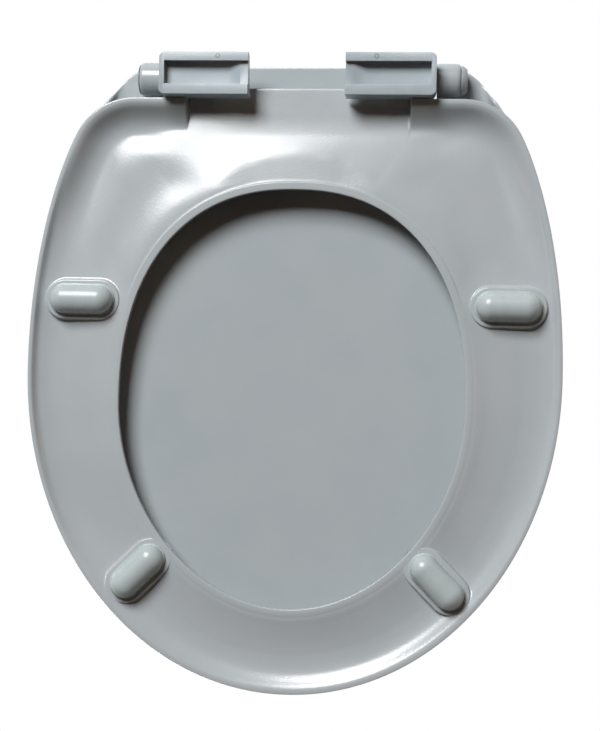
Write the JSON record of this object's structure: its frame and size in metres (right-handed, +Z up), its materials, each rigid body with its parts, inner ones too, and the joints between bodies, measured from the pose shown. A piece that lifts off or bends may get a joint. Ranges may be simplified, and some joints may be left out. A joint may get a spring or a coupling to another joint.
{
  "type": "toilet seat",
  "caption": "Closed toilet seat with lid: oval hollow seat ring with soft bumpers, domed lid and adjustable slotted hinge blocks on a common hinge axis.",
  "frame": {"origin": "on the pan's top plane, midway between the two fixing slots, straight below the hinge axis", "axes": "+Z up from the pan, -Y to the front of the seat, +X to the sitter's left, hinge axis along X"},
  "size_m": [0.371, 0.4406, 0.0378],
  "materials": {
    "seat_moulding": "gloss, light grey urea moulding",
    "hinge_plastic": "satin, grey injection moulded polyamide",
    "bumper_soft": "satin, soft light grey vinyl"
  },
  "bodies": {
    "seat": {"seat_ring": "seat_moulding", "seat_bumper_side_left": "bumper_soft", "seat_bumper_side_right": "bumper_soft", "seat_bumper_front_left": "bumper_soft", "seat_bumper_front_right": "bumper_soft"},
    "lid": {"lid": "seat_moulding", "lid_bumper_left": "bumper_soft", "lid_bumper_right": "bumper_soft", "hinge_pin_left": "hinge_plastic", "hinge_pin_right": "hinge_plastic"},
    "block_left": {"hinge_block_left": "hinge_plastic"},
    "block_right": {"hinge_block_right": "hinge_plastic"}
  },
  "joints": [
    {"name": "lid_hinge", "type": "hinge", "parent": "seat", "child": "lid", "pos_m": [0, 0, 0.024], "axis": [-1, 0, 0], "range_deg": [0, 95]},
    {"name": "block_swivel_left", "type": "hinge", "parent": "seat", "child": "block_left", "pos_m": [0.064, 0, 0.024], "axis": [1, 0, 0], "range_deg": [0, 95]},
    {"name": "block_swivel_right", "type": "hinge", "parent": "seat", "child": "block_right", "pos_m": [-0.064, 0, 0.024], "axis": [1, 0, 0], "range_deg": [0, 95]}
  ]
}
